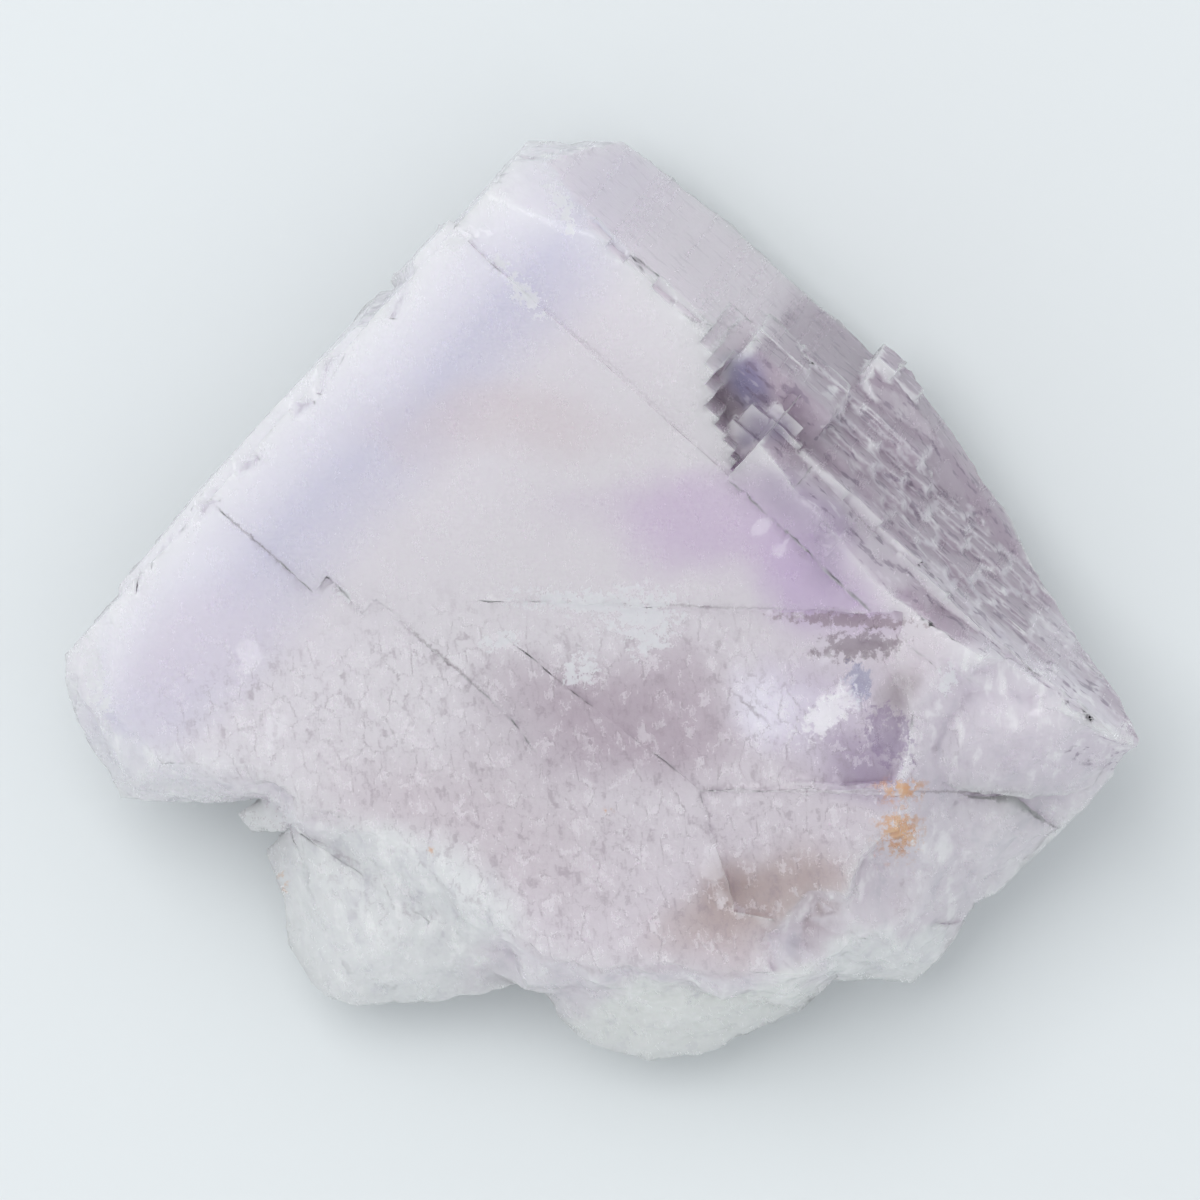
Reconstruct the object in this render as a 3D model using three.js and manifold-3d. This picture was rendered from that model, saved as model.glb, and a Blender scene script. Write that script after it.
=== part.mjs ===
// Fluorite specimen, about 97 x 84 x 40 mm: a large tilted cube crystal with two smaller
// crystals grown parallel to it, broken off its matrix. It lies on its broken underside.
import * as THREE from 'three';
import { ConvexGeometry } from 'three/addons/geometries/ConvexGeometry.js';
import { LoftGeometry } from 'three/addons/geometries/LoftGeometry.js';
import { mergeVertices } from 'three/addons/utils/BufferGeometryUtils.js';
import Module from 'manifold-3d';

const wasm = await Module();
wasm.setup();

// Driving dimensions, in millimetres
const CORNER = new THREE.Vector3(-6.84, 38.97, 40); // where the three cube faces would meet
const BASE_FLAT = 0; // height of the flat patch that the specimen rests on
const STRIP_WIDTH = 8.8; // lower strip of the main face along its right-hand edge
const STRIP_DROP = 0.25; // how far that strip lies below the main face
const GROWTH_STEP = 0.2; // the height of the fine growth steps on the main face
const SECOND_START = 25.9; // where the second crystal begins, along the right-hand edge
const FRONT_RISE = 0.2; // how far its front stands above the main face
const TILE_LONG = 4.4; // growth tiles on the second crystal, along the edge
const TILE_HIGH = 3.3; // and down its face
const TILE_RELIEF = 0.12; // how far neighbouring tiles stand above one another
const ROUGH = 0.55; // roughness of the broken sides
const ROUGH_BELOW = 0.8; // roughness of the underside

// The three cube directions: along the right-hand edge, out of the right-hand face,
// and out of the main face, which leans 15 degrees to the lower left
const FRONT = new THREE.Vector3(-0.149, -0.211, 0.966).normalize();
const ALONG = new THREE.Vector3(0.743, -0.669, -0.032);
ALONG.addScaledVector(FRONT, -ALONG.dot(FRONT)).normalize();
const OUT = new THREE.Vector3().crossVectors(FRONT, ALONG);
const CRYSTAL = new THREE.Matrix4().makeBasis(ALONG, OUT, FRONT).setPosition(CORNER);

// A repeatable uneven value between -1 and 1 for each pair of numbers
function uneven(i, j) {
  const s = Math.sin(i * 127.1 + j * 311.7) * 43758.5453;
  return 2 * (s - Math.floor(s)) - 1;
}

// Turns a closed geometry into a solid that can be joined and cut
function solid(geometry) {
  const bare = new THREE.BufferGeometry().copy(geometry);
  bare.deleteAttribute('normal');
  bare.deleteAttribute('uv');
  const merged = mergeVertices(bare, 1e-4);
  return new wasm.Manifold(new wasm.Mesh({
    numProp: 3,
    vertProperties: new Float32Array(merged.attributes.position.array),
    triVerts: new Uint32Array(merged.index.array),
  }));
}

// A point given in the crystal's own directions, moved to its place in the specimen
const grown = (a, v, c) => new THREE.Vector3(a, v, c).applyMatrix4(CRYSTAL);

// A block parallel to the cube faces, from one corner to the other
function block([a0, v0, c0], [a1, v1, c1]) {
  const box = new THREE.BoxGeometry(a1 - a0, v1 - v0, c1 - c0);
  box.translate((a0 + a1) / 2, (v0 + v1) / 2, (c0 + c1) / 2);
  return solid(box.applyMatrix4(CRYSTAL));
}

// A convex chunk with its corners in crystal directions, and one in plain x, y, z
const chunk = (points) => solid(new ConvexGeometry(points.map((p) => grown(...p))));
const lump = (points) => solid(new ConvexGeometry(points.map((p) => new THREE.Vector3(...p))));

// Height of the main face above the point x, y
function faceHeight(x, y) {
  const dx = x - CORNER.x;
  const dy = y - CORNER.y;
  return CORNER.z - (FRONT.x * dx + FRONT.y * dy) / FRONT.z;
}

// A large block whose one face passes through a point with the given outward normal:
// taking it away leaves a flat break there
function beyond(point, normal, size = 120) {
  const box = new THREE.BoxGeometry(size, size, size);
  box.translate(0, 0, size / 2);
  const turn = new THREE.Quaternion();
  turn.setFromUnitVectors(new THREE.Vector3(0, 0, 1), new THREE.Vector3(...normal).normalize());
  box.applyQuaternion(turn);
  box.translate(...point);
  return solid(box);
}

// The outline seen from above, anticlockwise from the right-hand tip: x, y and height of
// the widest line, then x, y where the broken side reaches the main face. Points along
// the two upper edges lie a little outside the cube faces that cut them.
const RIM = [
  [48.3, -13.1, 24, 47.6, -12.6], [48.4, -10.8, 25, 48.4, -10.6], [44.3, -3.6, 18, 44.8, -3.2],
  [40.7, 0.9, 13, 41.6, 1.6], [36.2, 9, 10, 38, 10.4], [31.3, 16, 8, 34, 18.6], [25.6, 22.6, 7, 29, 26],
  [20, 27.4, 7, 24, 32], [14.8, 32.3, 7, 18, 38], [9.4, 36.8, 7.5, 12, 43], [4, 40.6, 9, 6, 47],
  [-1, 42.4, 12, -1, 48], [-6, 41.6, 12, -8, 47], [-11.6, 36.6, 10, -14, 41], [-16.2, 33.2, 10, -19, 37],
  [-20.4, 28.2, 10, -23, 31], [-25, 23.4, 10, -29, 25.5], [-32.2, 15.8, 11, -35, 18.5],
  [-36.6, 11.2, 12, -39, 13], [-41, 5.8, 14, -43, 7], [-44.4, 2, 16, -45.6, 2.6],
  [-46.4, -0.8, 17, -46.4, -0.6], [-47.8, -3.6, 18, -47, -3.8], [-48.2, -7.2, 17, -46, -7.4],
  [-47.3, -10.8, 15, -44, -9.8], [-45, -14.9, 14, -42.2, -12.2], [-43.2, -17.8, 13, -40, -14.6],
  [-36, -18.1, 14, -34.6, -15.6], [-30.6, -18, 17, -29.2, -16.6], [-28.6, -20.6, 17, -25.5, -18.6],
  [-26.6, -22.8, 15, -21.6, -20.4], [-23, -26.2, 14, -17, -22.8], [-17.5, -29.6, 13, -12.6, -25.8],
  [-12, -32.6, 13, -8.2, -29.2], [-6.8, -35, 13, -4.6, -32.2], [-2, -36.2, 13, 0.8, -33],
  [4, -36.6, 14, 6.4, -32.6], [10, -36.6, 15, 12, -33.4], [17.4, -36.8, 13, 16.4, -33.6],
  [21.2, -34.2, 13, 19.4, -31.2], [25.2, -33.8, 11, 22, -28.6], [28.4, -34.4, 10, 24, -26.4],
  [31.1, -32, 12, 25.6, -22], [33.8, -27.5, 14, 27, -16], [36, -26.1, 14, 28, -10],
  [41.4, -21.2, 17, 31, -5.4], [44.6, -17.6, 20, 37, -6.8], [47, -14.9, 22, 43.4, -10.4],
];

// Rings of the rough body from the flat underside up to above the main face: how far in
// from the outline (0 to 1), how far up from the base to the outline, and the roughness
const BELOW = [[0.6, 0, 0], [0.65, 0.06, 0.4], [0.78, 0.28, 1], [0.89, 0.58, 1], [0.97, 0.86, 0.6]];
const ABOVE = [0, 0.22, 0.48, 0.74, 1, 1.25];
const BASE_CENTRE = [1, 2];

// Doubles a ring by adding a point between each pair of its neighbours
function doubled(ring) {
  return ring.flatMap((p, i) => [p, p.map((n, k) => (n + ring[(i + 1) % ring.length][k]) / 2)]);
}

function roughBody() {
  const rim = doubled(RIM);
  const sections = [];
  BELOW.forEach(([reach, rise, rough], row) => sections.push(rim.map(([x, y, z], i) => {
    const push = reach + rough * ROUGH_BELOW * 0.04 * uneven(i, row);
    return new THREE.Vector3(
      BASE_CENTRE[0] + (x - BASE_CENTRE[0]) * push,
      BASE_CENTRE[1] + (y - BASE_CENTRE[1]) * push,
      BASE_FLAT + z * rise + rough * ROUGH_BELOW * uneven(row + 7, i),
    );
  })));
  ABOVE.forEach((t, row) => sections.push(rim.map(([x, y, z, sx, sy], i) => {
    const top = faceHeight(sx, sy);
    const away = Math.hypot(x - sx, y - sy) || 1;
    const broken = Math.hypot(x, y) > Math.hypot(sx, sy) ? 1 : 0; // else it ends in a grown face
    const bulge = 0.11 * broken * away * Math.sin(Math.PI * Math.min(t, 1));
    const rough = broken && t > 0 && t < 1 ? ROUGH : 0.2;
    const out = bulge * ((x - sx) / away) + rough * uneven(i + 3, row + 20);
    const side = bulge * ((y - sy) / away) + rough * uneven(i + 5, row + 30);
    const lift = t > 0 && t < 1 ? rough * uneven(i, row + 40) : 0;
    return new THREE.Vector3(x + (sx - x) * t + out, y + (sy - y) * t + side, z + (top - z) * t + lift);
  })));
  return solid(new LoftGeometry(sections, { capStart: true, capEnd: true }));
}

// Reads a value between the points of a short outline of [place, value, ...] rows
function between(outline, place, column = 1) {
  const last = outline.length - 1;
  const i = Math.min(Math.max(outline.findIndex((p) => p[0] > place), 1), last) - 1;
  const t = THREE.MathUtils.clamp((place - outline[i][0]) / (outline[i + 1][0] - outline[i][0]), 0, 1);
  return THREE.MathUtils.lerp(outline[i][column], outline[i + 1][column], t);
}

// The second crystal along its length: ridge, upper edge of the tiled face and its depth
const RIDGE = [
  [32.4, -4.7, -3.7, 3.4], [37.5, -5.4, -3.7, 3.8], [43.3, -6.2, -4.6, 4], [48.7, -7, -4.8, 4.4],
  [54.6, -6.3, -5.3, 4.8], [62, -5.2, -5, 5], [68.7, -4.4, -4.4, 5], [80, -3.8, -3.7, 4],
];
// how far out the tiled face reaches low down, and the depth where it ends
const TILED = [
  [26, 0.3, 18], [36.5, 0.2, 19.5], [41, -0.7, 21], [46, -1.8, 23], [54, -2.6, 26], [62, -3.1, 27],
  [80, -3.4, 27],
];

function secondCrystal() {
  let crystal = null;
  // smooth front and upper face, slice by slice along the ridge
  for (let i = 0; i + 1 < RIDGE.length; i++) {
    const [start, end] = [[...RIDGE[i]], [...RIDGE[i + 1]]];
    end[0] += 0.05; // each slice runs a little into the next
    const slice = chunk([start, end].flatMap(([a, ridge, edge, depth]) => [
      [a, -STRIP_WIDTH - 0.3, FRONT_RISE], [a, ridge, FRONT_RISE], [a, edge, -depth], [a, edge, -32],
      [a, -STRIP_WIDTH - 0.3, -32],
    ]));
    crystal = crystal ? crystal.add(slice) : slice;
  }
  // small square terraces like stairs at its top end
  const stairs = [
    [[SECOND_START, -12, -30], [30.2, 0, -6]], [[29.6, -12, -30], [33.4, -0.9, -7]],
    [[29.3, -12, -30], [33, -5.4, -3]], [[29.7, -12, -30], [33.2, -3.4, -4]],
    [[31.2, -12, -30], [34.6, -2.2, -5.2]], [[32, -12, -30], [35.6, -3.2, -3.8]],
  ];
  for (const [from, to] of stairs) crystal = crystal.add(block(from, to));
  // rows of growth tiles, each row set off from the one above, each tile at its own height
  for (let row = 0; row < 9; row++) {
    const shift = TILE_LONG * 0.45 * uneven(row, 3);
    for (let n = 0; n < 13; n++) {
      const a = Math.max(SECOND_START, SECOND_START + n * TILE_LONG + (n ? shift + uneven(n, row) : 0));
      const upper = a < 32.4 ? 6 : between(RIDGE, a, 3);
      const c = upper + row * TILE_HIGH + 0.7 * uneven(n, row + 50);
      if (c > between(TILED, a, 2) - 1) continue;
      const out = (c - upper) / (between(TILED, a, 2) - upper);
      const high = a < 31 ? 0.05 : between(RIDGE, a, 2) + 0.4;
      const v = THREE.MathUtils.lerp(high, between(TILED, a), out) + TILE_RELIEF * uneven(n + 11, row);
      crystal = crystal.add(block([a, -12, -between(TILED, a, 2)], [a + TILE_LONG * 1.3, v, -c]));
    }
  }
  return crystal;
}

// The third crystal, behind the second one and low on the right-hand face
function thirdCrystal() {
  const face = chunk([
    [36.4, 0.9, -21.5], [36, 2.2, -25], [36, 2.2, -32], [40, 1.7, -24.5], [44.4, 0.4, -26], [44.4, 0.4, -32],
    [53, -1.3, -27], [53, -1.3, -32], [61, -3.2, -27], [61, -3.4, -31], [41, -0.8, -19.6], [46, -1.9, -21.4],
    [56, -2.9, -24], [36, -7, -24], [36, -7, -32], [61, -8, -27], [61, -8, -31],
  ]);
  return face.add(block([35.8, -6, -31], [38, 2.6, -24])).add(block([37.4, -6, -31], [41, 2, -25.2]));
}

// A shallow wedge of the main face, sunk along one edge and rising to nothing
function sunk([a0, a1], [edge, depth], [end, level]) {
  return chunk([a0, a1].flatMap((a) => [[a, edge, depth], [a, edge, 6], [a, end, level], [a, end, 6]]));
}

// Main face: its lower strip, the jagged right-hand edge and fine growth steps
function faceCuts() {
  let cuts = block([-4, -STRIP_WIDTH, -STRIP_DROP], [32.4, 6, 6]);
  const jags = [
    [8, 10.4, -0.3], [10.4, 12.6, -0.7], [12.6, 15.8, -0.35], [15.8, 18.4, -0.8], [18.4, 22.4, -0.5],
  ];
  for (const [from, to, v] of jags) cuts = cuts.add(block([from, v, -2.6], [to, 6, 6]));
  // the edge turns inwards, first as a slanting face, then in steps down to the stairs
  const inwards = [[22.4, -1.5], [24, -2.6]];
  for (const [a, v] of inwards) {
    cuts = cuts.add(chunk([
      [a, v, 6], [a, v, -1], [26, v, 6], [26, v, -1], [a, 3, 6], [26, 3, 6], [a, 3, -16], [26, 3, -16],
      [a, -0.1, -13], [26, -0.1, -13],
    ]));
  }
  const steps = [[25.3, -4.1], [26.6, -5.5], [28.3, -6.2], [29.8, -6.7], [31.2, -7.4], [32, -8.3]];
  for (const [a, v] of steps) cuts = cuts.add(block([a, v, -6.3], [32.4, 6, 6]));
  // Growth steps that follow the edge on the left part of the face. Below each of them the face
  // lies deepest, and it comes back up to its old level further down.
  let terrace = sunk([-2, 32.45], [-39, -GROWTH_STEP], [-62, 0]);
  for (const [to, edge] of [[12, -42.6], [16.4, -40.8]]) {
    terrace = terrace.subtract(block([-3, edge, -2], [to, -38, 7]));
  }
  cuts = cuts.add(terrace);
  cuts = cuts.add(chunk([
    [32.4, -39, -GROWTH_STEP], [32.4, -39, 6], [32.4, -62, 0], [32.4, -62, 6], [37, -40, 0], [37, -40, 6],
    [42, -62, 0], [42, -62, 6],
  ]));
  cuts = cuts.add(sunk([44.6, 51.4], [-23.3, -GROWTH_STEP], [-30, 0]));
  return cuts;
}

// Octahedral cleavage runs level across the face. Below the first crack the face drops by
// a shallow wedge, deepest at the right; between the two cracks it is hollowed out.
function cleavageCuts() {
  const at = (x, y, up) => [x, y, faceHeight(x, y) + up];
  const wedge = lump([
    at(-11, 0, 0), at(-11, 0, 3), at(27, -0.9, 3), at(27, -1.2, -0.5), at(26.6, -2.2, -0.6),
    at(25, -17, -0.5), at(9, -17, -0.15), at(25, -17, 3), at(9, -17, 3), at(-9, -3, 0), at(-9, -3, 3),
  ]);
  const hollow = lump([
    at(13, -4, 1), at(17, -1.6, 1), at(26.4, -1.8, 1), at(28.6, -5.4, 1), at(28.8, -12.4, 1), at(27, -16.9, 1),
    at(14.4, -17, 1), at(12.2, -11, 1), at(18, -5, -0.6), at(25, -4, -1), at(26, -16.2, -1.4),
    at(17, -16.4, -0.9), at(14.6, -10, -0.5), at(26.8, -9, -1.2),
  ]);
  const lower = lump([
    at(9, -17.2, -0.1), at(9, -17.2, 2), at(27, -17.4, -0.5), at(27, -17.4, 4),
    at(26, -31, -1.8), at(26, -31, 4), at(12, -28, -0.5), at(12, -28, 4),
  ]);
  return wedge.add(hollow).add(lower);
}

// Shell-shaped breaks: a flattened ball with uneven facets, taken out of the stone
function shell([x, y, z], [rx, ry, rz], seed, detail = 3) {
  const ball = new THREE.BufferGeometry().copy(new THREE.IcosahedronGeometry(1, detail));
  ball.deleteAttribute('normal');
  ball.deleteAttribute('uv');
  const round = mergeVertices(ball, 1e-4);
  const at = round.attributes.position;
  for (let i = 0; i < at.count; i++) {
    const swell = 1 + 0.07 * uneven(i, seed);
    at.setXYZ(i, at.getX(i) * rx * swell + x, at.getY(i) * ry * swell + y, at.getZ(i) * rz * swell + z);
  }
  return solid(round);
}

// Lumps along the broken lower edge of the specimen, left to right
function lowerLumps() {
  const left = lump([
    [-28, -20.5, 18], [-30, -22.5, 12], [-28.8, -27, 10], [-27.9, -31.1, 9.5], [-26.1, -34.7, 9],
    [-24.3, -36.3, 9], [-20.7, -36.7, 9], [-15.3, -36.5, 9.5], [-10.8, -35.7, 10.5], [-7.4, -34.8, 12],
    [-26, -22, 19.5], [-24.4, -31, 15], [-22.6, -34.6, 12.6], [-16, -33.4, 15.6], [-10, -31.6, 18.4],
    [-18, -25, 21.4], [-12, -28, 20.8], [-22, -22.5, 20.8], [-24, -24, 4], [-20, -32, 3.4], [-10, -31, 3],
  ]);
  const leftRidge = lump([
    [-27, -21, 19], [-25.6, -22, 20.4], [-22.6, -25.6, 20.2], [-19.6, -31.6, 17.4], [-18.6, -35.4, 12],
    [-22.6, -33.6, 13.6], [-25.6, -28, 16.6], [-22, -28, 8], [-15.4, -29, 19.3],
  ]);
  const knob = lump([
    [-32.8, -19.3, 17.4], [-30.6, -17.8, 18.6], [-27.4, -18.6, 20.6], [-28.6, -20.9, 18.8],
    [-31.4, -20.9, 16.2], [-29, -19.4, 13], [-26, -20, 14],
  ]);
  const bottom = lump([
    [-5.6, -34.6, 14], [-4.1, -37.4, 11], [-1.8, -39.6, 9.6], [1.8, -41, 8.6], [4.5, -41.9, 8],
    [9, -41, 8.4], [12, -39.9, 9], [14.9, -38.7, 9.6], [18, -36.9, 11], [-3.6, -33.4, 18.6],
    [1.6, -35.6, 18.2], [7, -36.8, 17.4], [13, -36.4, 16.4], [16.6, -35.2, 15.6], [4, -33, 20.4],
    [12, -33, 20], [0, -34, 4], [12, -34, 5],
  ]);
  const wedge = lump([
    [14.6, -38.6, 9.4], [18.2, -37.2, 10], [21.4, -34, 14], [20.6, -31.6, 20.6], [15.4, -35, 17.2],
    [16, -32, 8], [13, -36.8, 15],
  ]);
  const white = lump([
    [20.8, -33.8, 12.4], [25.4, -34, 10.4], [28.3, -34.6, 9.4], [31.2, -31.9, 11.6], [33, -29, 13],
    [22.4, -30.2, 20], [30.6, -29.4, 18], [26.6, -32.6, 16.6], [22, -30.6, 9], [29, -28, 8],
  ]);
  return left.add(leftRidge).add(knob).add(bottom).add(wedge).add(white);
}

// A break through three points given in crystal directions
function breakThrough(p, q, r) {
  const plane = new THREE.Plane().setFromCoplanarPoints(grown(...p), grown(...q), grown(...r));
  return beyond(grown(...p).toArray(), plane.normal.toArray());
}

// Broken corner at the top, nicks along the left edge, and the bruised left end
function breaks() {
  let cuts = beyond([-2.4, 41.1, 15], [0.03, 1, 0.1]);
  cuts = cuts.add(breakThrough([10.5, 0, 0], [0.4, 0, -8.5], [0, -4.4, 0]));
  const chips = [
    [-6.2, 40.4, 30, 1.4, 1.2, 3], [-4, 41.4, 27, 1.6, 1, 6], [-1.2, 41.6, 24, 1.6, 1, 7],
    [1.6, 41, 21, 1.8, 1.2, 6], [3.4, 39.8, 24, 1.3, 1.2, 5], [-9.6, 37.8, 37, 1, 1, 1.6],
  ];
  chips.forEach(([x, y, z, ...size], n) => { cuts = cuts.add(shell([x, y, z], size, n + 40, 1)); });
  for (let n = 0; n < 7; n++) {
    const at = grown(0.3 + 0.2 * uneven(n, 61), -18 - n * 6.8 + 1.8 * uneven(n, 60), 0);
    const out = grown(-1, 0.3 * uneven(n, 63), 0.6).sub(grown(0, 0, 0));
    cuts = cuts.add(beyond(at.toArray(), out.toArray(), 2.8 + 1.2 * uneven(n, 62)));
  }
  const bruised = [
    [[-45.4, -2.6, 24.6], [-0.62, 0.3, 0.73], 12], [[-45, -7.4, 23], [-0.72, -0.12, 0.68], 14],
    [[-43.4, -12, 22.4], [-0.5, -0.55, 0.67], 14], [[-37.4, -15.6, 22.6], [-0.1, -0.74, 0.66], 13],
    [[-41, -13, 23.6], [-0.34, -0.5, 0.8], 9],
  ];
  for (const [point, normal, size] of bruised) cuts = cuts.add(beyond(point, normal, size));
  return cuts;
}

// The milky break at the lower right: swellings above the second crack, hollows below it
function rightSwelling() {
  const upper = lump([
    [28.4, -5.4, 32.8], [31, -4.6, 33.4], [37, -7.2, 33.8], [43.4, -10.6, 33.4], [46.8, -13.2, 27],
    [27.6, -10.4, 31.6], [27.8, -15.6, 30], [33.6, -17.2, 28.6], [40.6, -17.6, 25], [44.2, -16.8, 21.6],
    [35.6, -11.4, 33.4], [41, -13.2, 31.2], [32, -13.8, 31.8], [37.6, -15.6, 29.4], [30, -10, 20],
    [42, -13, 18],
  ]);
  const lower = lump([
    [30.6, -17.4, 27.4], [37, -17.8, 25.4], [41.4, -20.6, 18], [37.4, -24.4, 15.4], [33.6, -26.6, 15.6],
    [30.4, -24.6, 20.4], [35.6, -21.6, 23.4], [31.6, -21, 25], [33, -20, 14],
  ]);
  return upper.add(lower);
}

function rightHollows() {
  const places = [
    [[29.6, -28.4, 35.6], [9.6, 8.4, 14]], [[41.4, -24.2, 33.4], [9, 7, 14]], [[21.6, -31.4, 33], [9, 6.2, 9]],
    [[38.6, -8, 43.8], [8, 6, 11.4]], [[34.4, -18.4, 37], [7, 5, 8.8]],
  ];
  return places.map(([at, size], n) => shell(at, size, n + 81, 2)).reduce((all, one) => all.add(one));
}

// The underside: shell-shaped hollows between the flat places, and cleavage steps
function undersideCuts() {
  const hollows = [
    [[-17, -9, -0.6], [9, 7, 2.6]], [[15, -11, -0.8], [9, 8, 2.8]], [[17, 15, -0.4], [10, 7.6, 3]],
    [[-13, 16, -0.6], [8, 8, 2.6]], [[34, -9, 4], [8, 9, 5]], [[-34, 1, 4], [7, 9, 4]],
    [[2, -30, 3], [9, 5, 3.4]],
    [[-18, -29, 3], [6, 5, 3]], [[4, 33, 2.6], [8, 6, 3]],
  ];
  let cuts = hollows.map(([at, size], n) => shell(at, size, n + 21, 2)).reduce((all, one) => all.add(one));
  // each step is a corner of cleaved stone taken away, its faces across the cube's corners
  const corner = [[9, 0, 0], [-9, 0, 0], [0, 9, 0], [0, -9, 0], [0, 0, 9], [0, 0, -9]];
  const stepped = [
    [38, -30, -35], [31, -24, -39.5], [44, -38, -38], [20, -52, -27], [26, -60, -24], [10, -44, -32],
    [52.6, -22.3, -31.2], [58.3, -16.4, -27], [8, -18, -39],
  ];
  for (const [a, v, c] of stepped) cuts = cuts.add(chunk(corner.map((p) => [p[0] + a, p[1] + v, p[2] + c])));
  return cuts;
}

const cube = block([-0.6, -120, -80], [120, 0, 0]); // bounded by the three grown faces
const recess = block([32.4, -STRIP_WIDTH, -60], [120, 20, 20]);
const layers = chunk([ // thin plates that stand out a little along the upper left edge
  [-1.4, -8.6, -0.4], [-1.5, -13.6, -0.4], [1, -8, 0], [1, -15.6, 0], [-1.3, -16.4, -26], [-1.3, -23, -26],
  [1, -16, -28], [1, -24.4, -28],
]).add(chunk([
  [-1.2, -22, -1.2], [-1.7, -30, -1], [-1.7, -41, -1.1], [-1.2, -54, -1.4], [1, -19, -0.2], [1, -57, -0.4],
  [-1.3, -24, -24], [-1.6, -48, -17], [-1, -57, -9], [1, -21, -26], [1, -50, -18], [1, -58, -10],
]));
// the grown faces bound the stone above, the rough break bounds it below
const crystals = cube.subtract(faceCuts()).subtract(recess).add(secondCrystal())
  .add(block([20, -14, -60], [45, 0, -18])).add(thirdCrystal());
let specimen = crystals.intersect(roughBody().add(rightSwelling())).add(layers);
specimen = specimen.subtract(cleavageCuts()).subtract(rightHollows());
specimen = specimen.add(lowerLumps()).subtract(breaks()).subtract(undersideCuts());

// Triangles that hang together, so that closed pockets between the crystals can be filled
function largestSkin(triangles, count) {
  const leader = Array.from({ length: count }, (_, i) => i);
  const lead = (i) => {
    while (leader[i] !== i) i = leader[i] = leader[leader[i]];
    return i;
  };
  for (let i = 0; i < triangles.length; i += 3) {
    leader[lead(triangles[i + 1])] = lead(triangles[i]);
    leader[lead(triangles[i + 2])] = lead(triangles[i]);
  }
  const skins = new Map();
  for (let i = 0; i < triangles.length; i += 3) {
    const key = lead(triangles[i]);
    if (!skins.has(key)) skins.set(key, []);
    skins.get(key).push(triangles[i], triangles[i + 1], triangles[i + 2]);
  }
  return [...skins.values()].reduce((most, skin) => (skin.length > most.length ? skin : most));
}

// Back to a drawable mesh, the outer skin alone
function drawn(body) {
  const mesh = body.getMesh();
  const points = new Float32Array(mesh.vertProperties);
  const geometry = new THREE.BufferGeometry();
  geometry.setAttribute('position', new THREE.BufferAttribute(points, 3));
  geometry.setIndex(largestSkin(mesh.triVerts, points.length / 3));
  geometry.computeVertexNormals();
  return geometry;
}

// The origin is at the middle of the outline, on the surface that the specimen lies on
const skin = drawn(specimen);
skin.computeBoundingBox();
const middle = skin.boundingBox.getCenter(new THREE.Vector3());
skin.translate(-middle.x, -middle.y, -BASE_FLAT);

const fluorite = new THREE.MeshStandardMaterial({ color: 0xcfc8d4, roughness: 0.25, metalness: 0 });
const crystal = new THREE.Mesh(skin, fluorite);
crystal.name = 'fluorite_crystal';

const specimenGroup = new THREE.Group();
specimenGroup.add(crystal);
export default specimenGroup;
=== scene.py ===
# %% [markdown]
# # A pale lilac fluorite specimen
#
# Fluorite grows as cubes. This hand specimen shows one large cube face, tilted towards us, with two
# smaller crystals grown parallel to it on the right and broken, milky stone round its lower edge.
#
# The solid that comes with the lesson already has the main shapes. It could be painted as it is, but
# its faces are flat and bare, and real crystal faces are etched, tiled and chipped. So the lesson
# takes a copy of the solid, gives it a fine mesh, raises the small relief on it, and then builds one
# material that has the whole story of the stone in it.

# %% The frame
import math

import bmesh
import bpy
import numpy as np
from mathutils import Matrix, Vector, noise


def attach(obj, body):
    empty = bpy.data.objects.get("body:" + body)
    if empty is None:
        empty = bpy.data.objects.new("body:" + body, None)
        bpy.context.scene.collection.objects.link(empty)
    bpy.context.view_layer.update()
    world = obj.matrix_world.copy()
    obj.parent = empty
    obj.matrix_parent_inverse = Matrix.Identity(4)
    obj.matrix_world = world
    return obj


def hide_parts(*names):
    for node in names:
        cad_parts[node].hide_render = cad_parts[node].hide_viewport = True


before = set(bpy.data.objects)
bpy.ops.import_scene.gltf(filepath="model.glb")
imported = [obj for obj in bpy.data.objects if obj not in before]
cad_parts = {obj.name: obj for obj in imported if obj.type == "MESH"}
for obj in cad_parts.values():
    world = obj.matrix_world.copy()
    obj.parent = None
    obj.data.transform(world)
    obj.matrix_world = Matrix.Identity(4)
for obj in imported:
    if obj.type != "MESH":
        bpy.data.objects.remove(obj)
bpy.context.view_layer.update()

# %% [markdown]
# ## Lengths and directions
#
# Everything below is written in millimetres and multiplied by MM where Blender wants metres. A cube
# crystal has three directions at right angles. Growth lines, colour zones and steps all follow them,
# so they are kept as one small coordinate system that starts at the cube's top corner: `along` runs
# down the right-hand edge of the big face, `across` runs up to the right, and `front` points out of
# the face, almost straight up.

# %% Lengths and directions
MM = 0.001
CUBE_CORNER = Vector((-7.03, 39.16, 40.0))  # where the three cube faces would meet
FRONT = Vector((-0.149, -0.211, 0.966)).normalized()
ALONG = Vector((0.743, -0.669, -0.032))
ALONG = (ALONG - FRONT * ALONG.dot(FRONT)).normalized()
ACROSS = FRONT.cross(ALONG)
CUBE = Matrix((ALONG, ACROSS, FRONT)).transposed()
print("the big face leans", round(math.degrees(FRONT.angle((0, 0, 1))), 1), "degrees")

# %% [markdown]
# ## A fine mesh
#
# The copy is one connected shell, so its doubled corners are merged first. Sculpting by hand would
# want an even mesh, and a voxel remesh gives one, but it rounds off every crystal edge. Cutting and
# splitting keeps each sharp edge exactly where it was. First the stone is sliced into cells along
# the crystal's own directions, so that no long thin triangle is left. Then each round selects the
# edges that are still too long, splits them in two, and makes triangles again.

# %% A fine mesh
CELL = 3.1  # distance between the slices, in mm
EDGE_LENGTH = 0.95  # the longest edge left, in mm


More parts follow.
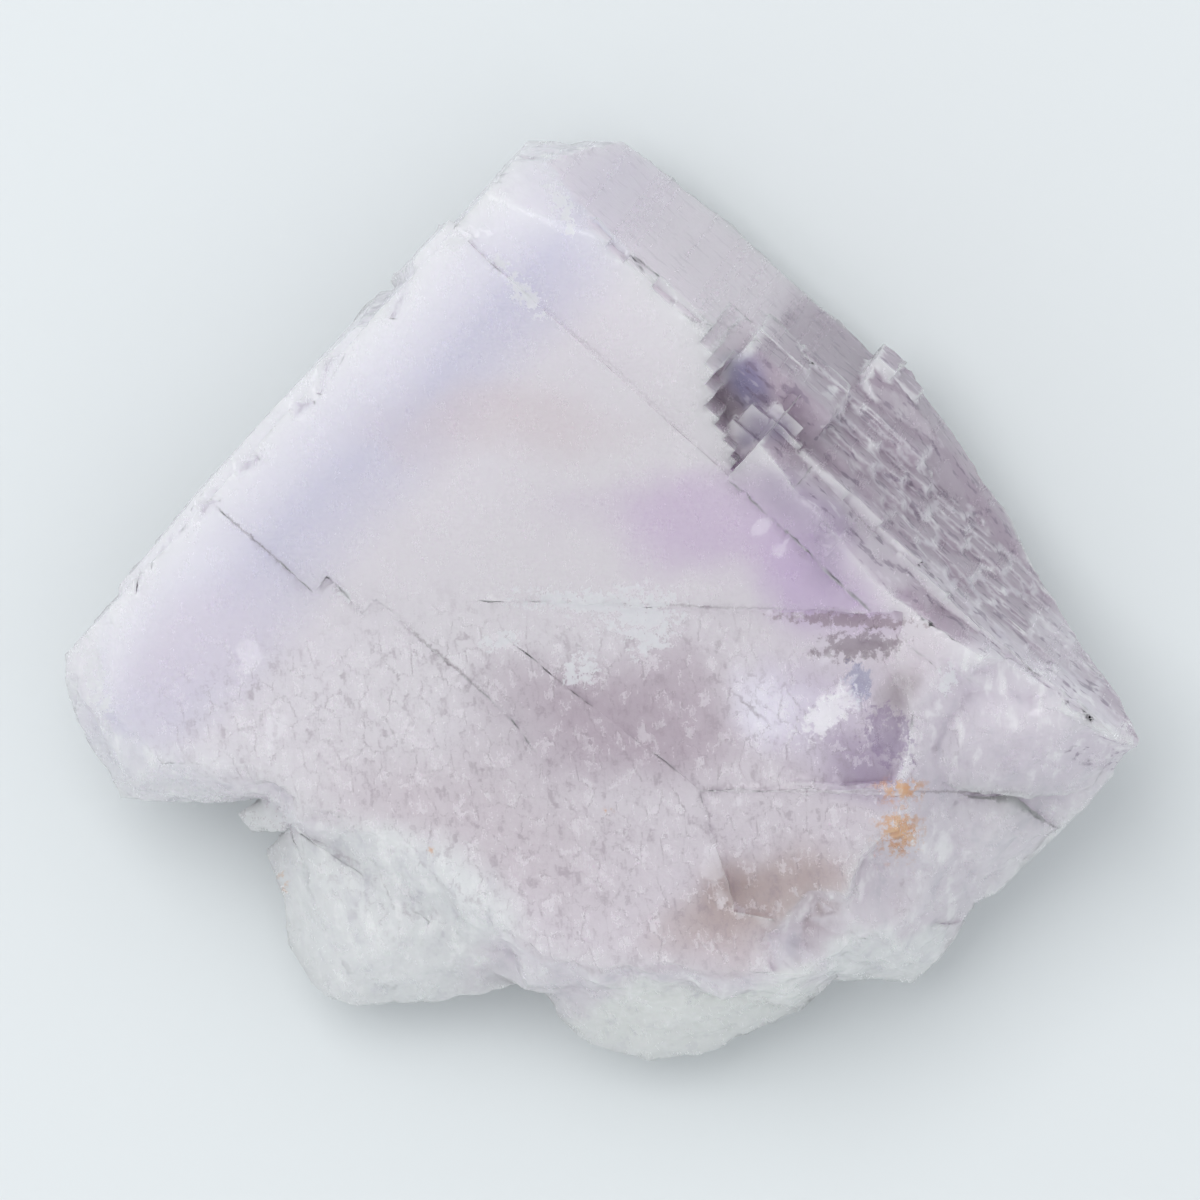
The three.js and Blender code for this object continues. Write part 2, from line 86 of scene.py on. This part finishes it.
def work_on(piece, mode):
    """Makes this the only selected object, and enters edit or object mode."""
    if bpy.context.object and bpy.context.object.mode != "OBJECT":
        bpy.ops.object.mode_set(mode="OBJECT")
    bpy.ops.object.select_all(action="DESELECT")
    bpy.context.view_layer.objects.active = piece
    piece.select_set(True)
    bpy.ops.object.mode_set(mode=mode)


def select_long_edges(piece, length):
    """Selects the edges longer than this, and returns how many there are."""
    bpy.ops.mesh.select_mode(type="EDGE")
    bpy.ops.mesh.select_all(action="DESELECT")
    shell = bmesh.from_edit_mesh(piece.data)
    long_edges = [edge for edge in shell.edges if edge.calc_length() > length]
    for edge in long_edges:
        edge.select_set(True)
    shell.select_flush_mode()
    bmesh.update_edit_mesh(piece.data)
    return len(long_edges)


stone = bpy.data.objects.new("fluorite_stone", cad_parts["fluorite_crystal"].data.copy())
bpy.context.scene.collection.objects.link(stone)
stone.data.materials.clear()
work_on(stone, "EDIT")
bpy.ops.mesh.select_all(action="SELECT")
bpy.ops.mesh.remove_doubles(threshold=0.001 * MM)
bpy.ops.mesh.dissolve_limited(angle_limit=math.radians(0.3))
for direction, first, last in ((ALONG, 0, 84), (ACROSS, -80, 4), (FRONT, -46, 0)):
    for distance in np.arange(first + 0.37, last, CELL):
        bpy.ops.mesh.select_all(action="SELECT")
        bpy.ops.mesh.bisect(plane_co=(CUBE_CORNER + direction * float(distance)) * MM, plane_no=direction)
bpy.ops.mesh.select_all(action="SELECT")
bpy.ops.mesh.remove_doubles(threshold=0.004 * MM)
bpy.ops.mesh.quads_convert_to_tris(quad_method="BEAUTY", ngon_method="BEAUTY")
while select_long_edges(stone, EDGE_LENGTH * MM):
    bpy.ops.mesh.subdivide(number_cuts=1)
    bpy.ops.mesh.select_all(action="SELECT")
    bpy.ops.mesh.quads_convert_to_tris(quad_method="SHORTEST_DIAGONAL", ngon_method="BEAUTY")
    bpy.ops.mesh.beautify_fill(angle_limit=math.radians(4))
bpy.ops.object.mode_set(mode="OBJECT")
print("triangles in the fine mesh:", len(stone.data.polygons))

# %% [markdown]
# ## Which parts are grown, and which are broken
#
# A grown face is flat and points along one of the cube's three directions. Everything else on a hand
# specimen is a break. A vertex group could be painted by hand; here each vertex is weighed by
# how well its normal agrees with the three directions, which gives the same answer everywhere.

# %% Grown and broken


def read(piece, what):
    """The places ("co") or normals ("normal") of all vertices, one row each."""
    rows = np.empty(3 * len(piece.data.vertices))
    piece.data.vertices.foreach_get(what, rows)
    return rows.reshape(-1, 3)


def ramp(value, start, end):
    """Goes smoothly from 0 at start to 1 at end."""
    t = np.clip((value - start) / (end - start), 0, 1)
    return t * t * (3 - 2 * t)


def group_of(piece, name, weights):
    """A vertex group with one weight for each vertex."""
    group = piece.vertex_groups.new(name=name)
    for index in np.flatnonzero(weights > 0.01):
        group.add([int(index)], float(weights[index]), "REPLACE")
    print(name, "covers", round(100 * float(np.mean(weights))), "percent of the stone")


places, normals = read(stone, "co") / MM, read(stone, "normal")
facing_cube = normals @ np.array(CUBE)
grown = ramp(np.abs(facing_cube).max(axis=1), 0.93, 0.985)
below_face = (places - np.array(CUBE_CORNER)) @ np.array(FRONT)
on_front = np.maximum(ramp(facing_cube[:, 2], 0.8, 0.93), ramp(below_face, -1.6, -1.0))
on_side = ramp(facing_cube[:, 1], 0.8, 0.93)
down_edge, outwards, upwards = ((places - np.array(CUBE_CORNER)) @ np.array(CUBE)).T
tiled = (down_edge > 27) & (upwards < -5.5) & (upwards > -26) & (outwards > -9) & (outwards < 0.2)
group_of(stone, "broken", (1 - grown) * ramp(places[:, 2], 0.2, 2))
group_of(stone, "etched", ramp(facing_cube[:, 2], 0.93, 0.99) * ramp(places[:, 1], 6, -4))

# %% [markdown]
# ## Small relief
#
# Displace modifiers push the surface in and out by a texture. The broken sides get three sizes of
# roughness, from shell-shaped waves down to sugary grains. The etched part of the face gets low
# plates with steps between them.

# %% Small relief


def raise_relief(piece, name, kind, group, grain, height, turned=None, **settings):
    """Displaces a piece by a procedural texture of this grain and height, both in mm."""
    texture = bpy.data.textures.new(name, type=kind)
    texture.noise_scale = grain * MM
    for setting, value in settings.items():
        setattr(texture, setting, value)
    work_on(piece, "OBJECT")
    bpy.ops.object.modifier_add(type="DISPLACE")
    relief = piece.modifiers[-1]
    relief.texture = texture
    relief.vertex_group = group
    relief.strength = height * MM
    relief.mid_level = 0.5
    if turned:
        relief.texture_coords = "OBJECT"
        relief.texture_coords_object = turned
    bpy.ops.object.modifier_apply(modifier=relief.name)


bpy.ops.object.empty_add(location=CUBE_CORNER * MM, rotation=CUBE.to_euler())
crystal_directions = bpy.context.object
raise_relief(stone, "shell waves", "CLOUDS", "broken", 5.0, 0.9, noise_depth=1)
raise_relief(stone, "splinters", "CLOUDS", "broken", 1.7, 0.5, noise_depth=2)
raise_relief(stone, "sugar grains", "VORONOI", "broken", 1.1, 0.25)
raise_relief(stone, "etched plates", "CLOUDS", "etched", 2.2, 0.16, turned=crystal_directions, noise_depth=2)
bpy.data.objects.remove(crystal_directions)
work_on(stone, "EDIT")
bpy.ops.mesh.select_mode(type="VERT")
bpy.ops.mesh.select_all(action="DESELECT")
bpy.ops.object.mode_set(mode="OBJECT")
stone.data.vertices.foreach_set("select", tiled)
bpy.ops.object.mode_set(mode="EDIT")
bpy.ops.mesh.vertices_smooth(factor=0.5, repeat=5)
work_on(stone, "OBJECT")
bpy.ops.object.shade_smooth_by_angle(angle=math.radians(24))

# %% [markdown]
# ## Painting the stone
#
# Fluorite keeps the story of its growth in its colours. A growing crystal changes colour as the
# water round it changes, so the zones run parallel to the cube faces. Purple, mauve and brown hazes
# hang inside, and the broken lumps are milky. All of these are soft and large, so they are painted
# on the vertices: that is as smooth as a shader would draw them, and far quicker to render.
#
# Each haze is an ellipse seen from above, and so are a few patches of painted shade and painted
# highlight listed with them: the dark purple under the second crystal, the dark floor of the clear
# window and its bright glow. The ellipses are bent by noise first, so that none of them shows its outline.

# %% Painting the stone


def linear(hex_colour):
    """An sRGB hex colour as linear red, green, blue and alpha."""
    parts = [int(hex_colour[i:i + 2], 16) / 255 for i in (1, 3, 5)]
    return (*(c / 12.92 if c <= 0.04045 else ((c + 0.055) / 1.055) ** 2.4 for c in parts), 1.0)


def wandering(points, grain, reach):
    """The points pushed about by noise of this grain, by up to reach, both in mm."""
    return points + reach * np.array([noise.noise_vector(Vector(point) / grain) for point in points])


def patch(points, x, y, long, wide, turn=0.0, soft=0.8):
    """1 in the middle of an ellipse seen from above, fading to 0 at its rim. Sizes in mm."""
    c, s = math.cos(math.radians(turn)), math.sin(math.radians(turn))
    dx, dy = points[:, 0] - x, points[:, 1] - y
    return ramp(np.hypot((c * dx + s * dy) / long, (c * dy - s * dx) / wide), 1, 1 - soft)


def tinted(below, mask, hex_colour):
    """The colour so far, with a tint laid over it where the mask is."""
    return below + mask[:, None] * (np.array(linear(hex_colour)) - below)


ZONES = [  # mm from the upper left edge, colour
    (0, "#eceaf1"), (4, "#e2e0e9"), (7, "#d7d5e2"), (10, "#dad7e2"), (14, "#e3dfe4"), (24, "#e1dde1"),
    (38, "#dfdadf"), (55, "#dbd4da"), (80, "#d3cad1"),
]
HAZES_AND_PAINTED_LIGHT = [  # x, y, half length, half width, turn, strength, colour
    (-9.0, 16.0, 17, 5, 0, 0.5, "#dacfd3"),  # brownish pink in the clear zone
    (10.0, 6.0, 19, 6.5, -4, 0.8, "#d2c2d8"),  # purple above the first crack
    (19.0, 1.6, 9, 5, -24, 0.7, "#c9b4d4"),  # its deepest part
    # painted shade: the dark purple under the second crystal
    (17.5, 7.6, 10, 4.4, -46, 0.7, "#aa9fb2"),  # shadowy purple under the second crystal
    (-36.0, -4.0, 13, 9, 30, 0.7, "#dfd9e3"),  # lilac of the left end
    (2.0, -11.0, 18, 9, 0, 0.8, "#bcadb8"),  # mauve of the etched face
    (-12.0, -20.0, 20, 9, -20, 0.6, "#d2c8ce"),  # brownish pink of the etched face
    (14.0, -27.0, 12, 6, 14, 0.7, "#b4a09b"),  # brown stain
    (11.5, -24.2, 5, 3.4, 0, 0.5, "#a08884"),  # its darkest part
    (19.0, -9.5, 8.5, 8, 0, 0.6, "#cfc3d8"),  # the glassy window between the cracks
    # painted shade: the darker floor and lower rim of the clear window's hollow, here and on the next line
    (26.3, -7.6, 3.4, 3.4, 0, 0.5, "#9a8e93"),
    (24.0, -13.8, 4.8, 3.4, 8, 0.6, "#a08bac"),
    # painted highlight: the bright glow in the clear window
    (16.0, -9.3, 6.0, 6.5, 10, 0.85, "#f0edf6"),
    (37.0, 12.0, 8.0, 4.0, -52, 0.6, "#bfa9ae"),  # reddish third crystal
    (27.0, 2.6, 20, 2.2, -42, 0.9, "#cfc8d0"),  # smooth pale strip along the second crystal
    (13.1, 20.4, 3.4, 2.9, 45, 0.9, "#8f89a8"),  # dark clear terraces at its top end
    (14.0, 16.3, 3.6, 2.8, 45, 0.7, "#978ca5"),
    (12.0, 14.4, 1.5, 1.3, 45, 0.8, "#9d93ab"),
]
LUMPS = [  # milky: x, y, half length, half width, turn, strength, colour
    (36.0, -12.0, 13, 10, 40, 0.9, "#dad4dc"),  # break at the lower right
    (35.0, -22.0, 9, 8, 40, 0.9, "#e2dde3"),
    (-20.0, -29.0, 13, 11, 0, 1.0, "#e6e7e8"),  # lump on the lower left
    (7.0, -39.0, 18, 6, 8, 1.0, "#eceeeb"),  # sugary lump at the bottom
    (26.0, -32.0, 7, 3.5, 10, 0.9, "#e8eaea"),  # small glassy lump beside it
    (-42.0, -16.0, 9, 5, -10, 0.7, "#e6e5ea"),  # bruised left end
]
places = read(stone, "co") / MM
in_crystal = (places - np.array(CUBE_CORNER)) @ np.array(CUBE)
zone_at = wandering(in_crystal, 15, 1.5)[:, 0]
stops = np.array([linear(tint) for _, tint in ZONES])
paint = np.stack([np.interp(zone_at, [at for at, _ in ZONES], stops[:, i]) for i in range(4)], axis=1)
bent = wandering(wandering(places, 9, 3), 2.5, 0.8)
paint = tinted(paint, 0.6 * on_side, "#e2d6e0")
low_side = on_side * ramp(zone_at, 24, 31)
# the tiled side is painted darker purple-grey: its own colour, deepened by painted shade on that steep face
paint = tinted(paint, 0.85 * np.maximum(low_side, tiled), "#a292a1")
for *ellipse, strength, tint in HAZES_AND_PAINTED_LIGHT:
    paint = tinted(paint, strength * patch(bent, *ellipse), tint)
milk = (1 - np.maximum(on_front, on_side)) * ramp(bent[:, 2], 34, 27)
paint = tinted(paint, 0.55 * milk, "#e9e5eb")
for *ellipse, strength, tint in LUMPS:
    lump = strength * patch(bent, *ellipse, soft=0.35)
    paint = tinted(paint, lump, tint)
    milk = np.maximum(milk, lump)

# %% [markdown]
# ## Where the stone was knocked, and where it rusted
#
# Chips, rust and etching need edges finer than the mesh. So the paint only says how near each vertex
# is to such a place, and the material crumbles the edge with noise. Three such masks go into the red,
# green and blue of one attribute, and the fourth into its alpha.

# %% Chips and rust
CHALK = [  # crushed white places: x, y, half length, half width, turn
    (-13.2, 32.1, 2.0, 1.0, 20), (-9.2, 30.3, 1.8, 1.0, -45), (-6.8, 27.5, 4.0, 1.7, -45),
    (-23.1, 0.6, 1.6, 1.0, 0), (-1.1, 0.0, 12, 1.8, -3), (3.4, -1.0, 6.4, 3.8, 0), (-9.2, -3.4, 3.2, 1.2, 15),
    (-2.0, -6.1, 3.0, 2.4, 20), (4.4, -3.4, 3.8, 2.0, 30), (-45.4, -7.0, 1.5, 6.5, 12),
    (-38.4, -16.7, 7, 1.2, -8), (-30.3, -19.2, 4.6, 2.4, -20), (30.9, -7.0, 1.3, 2.1, 0),
    (-3.6, 35.4, 1.3, 4.6, 25),
]
RUST = [(26.8, -16.8, 4.6, 2.0, 0), (26.6, -20.6, 4.2, 5.0, 0), (-29.0, -25.9, 1.2, 3.4, 0),
        (-15.5, -22.3, 0.9, 0.7, 0), (0.7, -18.7, 0.8, 0.7, 0)]


def nearest(places_listed, points):
    """How near each point is to any of these patches, 1 in their middle."""
    return np.max([patch(points, *ellipse, soft=1.0) for ellipse in places_listed], axis=0)


def store(piece, name, colours):
    """Keeps four numbers for each vertex as a colour attribute."""
    layer = piece.data.color_attributes.new(name, "FLOAT_COLOR", "POINT")
    layer.data.foreach_set("color", np.ascontiguousarray(colours, dtype=np.float32).ravel())


on_top = ramp(places[:, 2], 8, 14)
etched = on_front * patch(bent, -2, -17, 46, 20, -4, soft=0.35)
# the alpha says where growth tiles, their dark ledges and painted glints show, and holds back painted edge
# light there
paint[:, 3] = np.maximum(0.3 * on_side + 0.7 * low_side, tiled)  # how strongly growth tiles show
store(stone, "paint", paint)
store(stone, "marks", np.stack([on_top * nearest(CHALK, places), on_top * nearest(RUST, places), milk, etched],
                               axis=1))

# %% [markdown]
# ## A helper for nodes
#
# One small function adds a node, sets it up and links it. A second turns any value into a soft mask,
# and a third lays a tint over the colour so far.

# %% A helper for nodes
fluorite = bpy.data.materials.new("pale_lilac_fluorite")
fluorite.use_nodes = True
tree = fluorite.node_tree
tree.nodes.clear()


def add(kind, inputs=None, **settings):
    """Adds a shader node. Each input is given a value, or the output of another node."""
    made = tree.nodes.new("ShaderNode" + kind)
    for name, value in settings.items():
        setattr(made, name, value)
    for key, value in (inputs or {}).items():
        if isinstance(value, bpy.types.NodeSocket):
            tree.links.new(value, made.inputs[key])
        else:
            made.inputs[key].default_value = value
    return made


def soft_mask(value, start, end, where=1.0):
    """0 at start and 1 at end, kept only where another mask is."""
    step = add("MapRange", {"Value": value, "From Min": start, "From Max": end},
               interpolation_type="SMOOTHSTEP").outputs[0]
    return add("Math", {0: step, 1: where}, operation="MULTIPLY").outputs[0]


def glazed(below, mask, amount, hex_colour):
    """The colour so far, with a tint laid over it where the mask is."""
    share = add("Math", {0: mask, 1: amount}, operation="MULTIPLY").outputs[0]
    return add("Mix", {0: share, 6: below, 7: linear(hex_colour)}, data_type="RGBA").outputs[2]


# %% [markdown]
# ## Rulers and masks in the material
#
# Object coordinates stay with the stone. One ruler counts them in millimetres, and another runs
# along the crystal's own directions from the cube's corner.

# %% Rulers and masks
here = add("TexCoord").outputs["Object"]
mm_ruler = add("Mapping", {"Vector": here, "Scale": (MM, MM, MM)}, vector_type="TEXTURE").outputs[0]
cube_ruler = add(
    "Mapping",
    {"Vector": here, "Location": CUBE_CORNER * MM, "Rotation": CUBE.to_euler(), "Scale": (MM, MM, MM)},
    vector_type="TEXTURE",
).outputs[0]
marks = add("Attribute", attribute_name="marks")
near_chalk, near_rust, milky = add("SeparateColor", {0: marks.outputs["Color"]}).outputs
etched = marks.outputs["Alpha"]
painted = add("Attribute", attribute_name="paint")
colour, side = painted.outputs["Color"], painted.outputs["Alpha"]
crumb = add("TexNoise", {"Vector": mm_ruler, "Scale": 1.2, "Detail": 3.5, "Roughness": 0.75},
            noise_dimensions="2D").outputs[0]

# %% [markdown]
# ## Etched lines and mottling
#
# Acid water has etched the big face into a net of fine, broken lines. Voronoi cells give such a net,
# and noise bends it. The real plates are 1 to 3 mm across.

# %% Etched lines
PLATE = 2.3  # mm
bent_ruler = add("VectorMath", {0: crumb, 1: (1.7, -1.5, 0.0), 2: cube_ruler},
                 operation="MULTIPLY_ADD").outputs[0]
net = add("TexVoronoi", {"Vector": bent_ruler, "Scale": 1 / PLATE}, feature="DISTANCE_TO_EDGE",
          voronoi_dimensions="2D").outputs[0]
mottle = add("TexNoise", {"Vector": bent_ruler, "Scale": 0.5, "Detail": 3.5, "Roughness": 0.8},
             noise_dimensions="2D").outputs[0]
lines = soft_mask(net, 0.055, 0.0, soft_mask(mottle, 0.44, 0.56, etched))
colour = glazed(colour, lines, 0.4, "#85767f")
colour = glazed(colour, soft_mask(mottle, 0.52, 0.7, etched), 0.45, "#eeeaee")
colour = glazed(colour, soft_mask(mottle, 0.46, 0.3, etched), 0.4, "#9d8f99")

# %% [markdown]
# ## Ledges, painted glints and wisps
#
# The side faces are covered in long growth tiles with dark ledges between them, and light streaks on
# the tiles are painted glints. The milky lumps have white wisps that follow the cleavage. Both are noise
# drawn out in one direction.

# %% Ledges and wisps
tall = add("VectorMath", {0: cube_ruler, 1: (0.3, 0.8, 0.62)}, operation="MULTIPLY").outputs[0]
ledge = add("TexNoise", {"Vector": tall, "Scale": 1.5, "Detail": 2.0, "Roughness": 0.6}).outputs[0]
colour = glazed(colour, soft_mask(ledge, 0.43, 0.35, side), 0.55, "#74647a")
# painted glints: light streaks on the growth tiles
colour = glazed(colour, soft_mask(ledge, 0.6, 0.72, side), 0.35, "#e6e1e8")
long_way = add("VectorMath", {0: mm_ruler, 1: (0.5, 0.16, 0.3)}, operation="MULTIPLY").outputs[0]
wisp = add("TexNoise", {"Vector": long_way, "Scale": 1.3, "Detail": 3.0, "Roughness": 0.65}).outputs[0]
colour = glazed(colour, soft_mask(wisp, 0.52, 0.68, milky), 0.5, "#ffffff")
colour = glazed(colour, soft_mask(wisp, 0.46, 0.32, milky), 0.4, "#c9c7cf")

# %% [markdown]
# ## Cracks
#
# Long cracks cross the big face, along the cube and along the level cleavage. Each is a thin ellipse
# between its two ends, in a ruler that the crumbs push about a little.

# %% Cracks
CRACKS = [  # from x, y to x, y, half width
    (-12.3, 32.6, 12.4, 11.0, 0.15), (-35.5, 9.4, -26.5, 1.4, 0.15), (-19.6, -0.6, -8.9, -9.4, 0.18),
    (10.6, -7.0, 15.6, -11.5, 0.25), (-11.0, 0.2, 26.8, -0.9, 0.16), (17.0, -0.6, 26.0, -1.1, 0.5),
    (8.8, -16.9, 41.2, -17.1, 0.18),
]
shaky = add("VectorMath", {0: crumb, 1: (0.7, 0.7, 0.0), 2: mm_ruler}, operation="MULTIPLY_ADD").outputs[0]
crack = 0.0
for x1, y1, x2, y2, wide in CRACKS:
    half, turn = math.hypot(x2 - x1, y2 - y1) / 2, math.atan2(y2 - y1, x2 - x1)
    middle = ((x1 + x2) / 2 + 0.35, (y1 + y2) / 2 + 0.35, 26)
    along = add("Mapping", {"Vector": shaky, "Location": middle, "Rotation": (0, 0, turn),
                            "Scale": (half, wide, 14)}, vector_type="TEXTURE").outputs[0]
    away = add("VectorMath", {0: along}, operation="LENGTH").outputs["Value"]
    one = add("MapRange", {"Value": away, "From Min": 1.0, "From Max": 0.2}).outputs[0]
    crack = add("Math", {0: crack, 1: one}, operation="MAXIMUM").outputs[0]
colour = glazed(colour, crack, 0.55, "#7d6e75")

# %% [markdown]
# ## Films and a painted reflection in the clear window
#
# Between the two level cracks the stone is as clear as glass, and thin films on old cracks show in it:
# brown, blue-grey and deep purple. A white patch among them is a painted reflection of the light. Their
# outlines are sharp but ragged.

# %% Films and a painted reflection
FILMS_AND_PAINTED_REFLECTION = [  # x, y, half length, half width, turn, strength, colour
    (22.2, -1.6, 7.0, 0.7, -3, 0.5, "#8a767a"), (23.0, -3.9, 4.2, 1.5, 4, 0.55, "#84737c"),
    (22.9, -7.2, 1.3, 2.0, 10, 0.5, "#8f93b4"), (25.6, -11.9, 2.3, 2.9, 20, 0.5, "#8d779c"),
    # painted reflection: white patch where the clear window mirrors the light
    (20.4, -9.8, 3.6, 1.7, 42, 0.55, "#ffffff"),
]
for x, y, long, wide, turn, strength, tint in FILMS_AND_PAINTED_REFLECTION:
    inside_window_mark = add("Mapping", {"Vector": mm_ruler, "Location": (x, y, 26),
                                  "Rotation": (0, 0, math.radians(turn)), "Scale": (long, wide, 30)},
                      vector_type="TEXTURE").outputs[0]
    away = add("VectorMath", {0: inside_window_mark}, operation="LENGTH").outputs["Value"]
    eaten_window_mark = add("Math", {0: crumb, 1: 2.4, 2: away}, operation="MULTIPLY_ADD").outputs[0]
    colour = glazed(colour, soft_mask(eaten_window_mark, 2.2, 1.85), strength, tint)

# %% [markdown]
# ## Chalk, rust, painted edge highlights and painted crease shade
#
# Where the crystal was knocked it is crushed to a white powder, and water has left rust in a few
# places. Sharp convex edges are painted white, partly as bruising and partly as painted highlights where
# they catch the light, and hollow creases are painted darker as painted shade. Pointiness tells the
# shader where the mesh is sharp or hollow.

# %% Chalk, rust, painted edge highlights and painted crease shade
eaten_rust = add("Math", {0: crumb, 1: 3.0, 2: near_rust}, operation="MULTIPLY_ADD").outputs[0]
colour = glazed(colour, soft_mask(eaten_rust, 1.9, 2.5, near_rust), 0.9, "#d8a06c")
pointed = add("NewGeometry").outputs["Pointiness"]
flat = add("MapRange", {"Value": side, "To Min": 1.0, "To Max": 0.0}).outputs[0]
# painted highlight, partly real bruising: sharp convex edges lighter
colour = glazed(colour, soft_mask(pointed, 0.53, 0.62, flat), 0.3, "#fbf9fd")
# painted shade: hollow creases darker
colour = glazed(colour, soft_mask(pointed, 0.48, 0.42, flat), 0.3, "#9f939e")
eaten_chalk = add("Math", {0: crumb, 1: 3.6, 2: near_chalk}, operation="MULTIPLY_ADD").outputs[0]
chalk = soft_mask(eaten_chalk, 2.15, 2.6, soft_mask(near_chalk, 0.02, 0.2))
colour = glazed(colour, chalk, 0.9, "#e3e3e6")

# %% [markdown]
# ## The finished material
#
# Fluorite is a clear crystal with a low refractive index of 1.434, so it looks glassy but never
# sparkles like quartz. Clear parts let light through; milky and crushed parts scatter it. The fine
# bump is the etching that is too small for the mesh.

# %% The finished material
CLEAR = 0.22  # share of the light that goes straight through
fine = add("TexNoise", {"Vector": mm_ruler, "Scale": 1.7, "Detail": 1.5, "Roughness": 0.6}).outputs[0]
relief = add("Bump", {"Height": fine, "Strength": 0.25, "Distance": 0.14 * MM}).outputs[0]
roughness = add("MapRange", {"Value": mottle, "From Min": 0.3, "From Max": 0.7, "To Min": 0.14, "To Max": 0.32})
matt = add("Math", {0: chalk, 1: 0.5, 2: roughness.outputs[0]}, operation="MULTIPLY_ADD").outputs[0]
surface = add(
    "BsdfPrincipled",
    {
        "Base Color": colour, "Roughness": matt, "IOR": 1.434, "Transmission Weight": CLEAR,
        "Subsurface Weight": 1.0, "Subsurface Radius": (1.0, 0.95, 1.0), "Subsurface Scale": 12 * MM,
        "Normal": relief,
    },
).outputs[0]
inside = add("VolumeAbsorption", {"Color": linear("#cbb6d6"), "Density": 1.0}).outputs[0]
add("OutputMaterial", {"Surface": surface, "Volume": inside})
stone.data.materials.append(fluorite)
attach(stone, "root")
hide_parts("fluorite_crystal")
print("shader nodes:", len(tree.nodes))

# %% [markdown]
# ## Floor, light and camera
#
# The stone lies on a pale studio table. A large soft light stands at the upper left, so the soft
# shadow falls to the lower right. The camera looks straight down through a long lens.

# %% Floor
FLOOR_SIZE = 4.0
work_on(stone, "OBJECT")
bpy.ops.object.select_all(action="DESELECT")
bpy.ops.mesh.primitive_plane_add(size=FLOOR_SIZE, location=(0, 0, 0))
floor = bpy.context.object
floor.name = "studio_floor"
paper = bpy.data.materials.new("matt_white_table")
paper.use_nodes = True
paper.node_tree.nodes["Principled BSDF"].inputs["Base Color"].default_value = linear("#dbdfe0")
paper.node_tree.nodes["Principled BSDF"].inputs["Roughness"].default_value = 0.9
paper.node_tree.nodes["Principled BSDF"].inputs["Specular IOR Level"].default_value = 0.0
floor.data.materials.append(paper)

# %% Light
bpy.ops.object.light_add(type="AREA", location=(-0.34, 0.32, 1.12))
soft_box = bpy.context.object
soft_box.name = "soft_box"
soft_box.rotation_euler = (-soft_box.location).to_track_quat("-Z", "Y").to_euler()
soft_box.data.size = 0.8
soft_box.data.energy = 6.0
sky = bpy.context.scene.world or bpy.data.worlds.new("studio")
bpy.context.scene.world = sky
sky.use_nodes = True
sky.node_tree.nodes["Background"].inputs["Color"].default_value = linear("#f4f7fa")
sky.node_tree.nodes["Background"].inputs["Strength"].default_value = 0.89
bpy.context.scene.view_settings.view_transform = "Standard"
bpy.context.scene.cycles.max_bounces = 5
bpy.context.scene.cycles.diffuse_bounces = 2
bpy.context.scene.cycles.transmission_bounces = 4
bpy.context.scene.cycles.adaptive_threshold = 0.1  # calm places stop early

# %% Camera
FRAME_WIDTH = 108.0  # mm across the picture, at half the stone's height
LENS, SENSOR = 700.0, 36.0
MIDDLE = Vector((-0.19, 0.19, 22.0))
bpy.ops.object.camera_add(location=(MIDDLE + Vector((0, 0, FRAME_WIDTH * LENS / SENSOR))) * MM)
camera = bpy.context.object
camera.name = "camera"
camera.rotation_euler = (0, 0, 0)
camera.data.lens, camera.data.sensor_width = LENS, SENSOR
camera.data.clip_start, camera.data.clip_end = 0.05, 20
bpy.context.scene.camera = camera
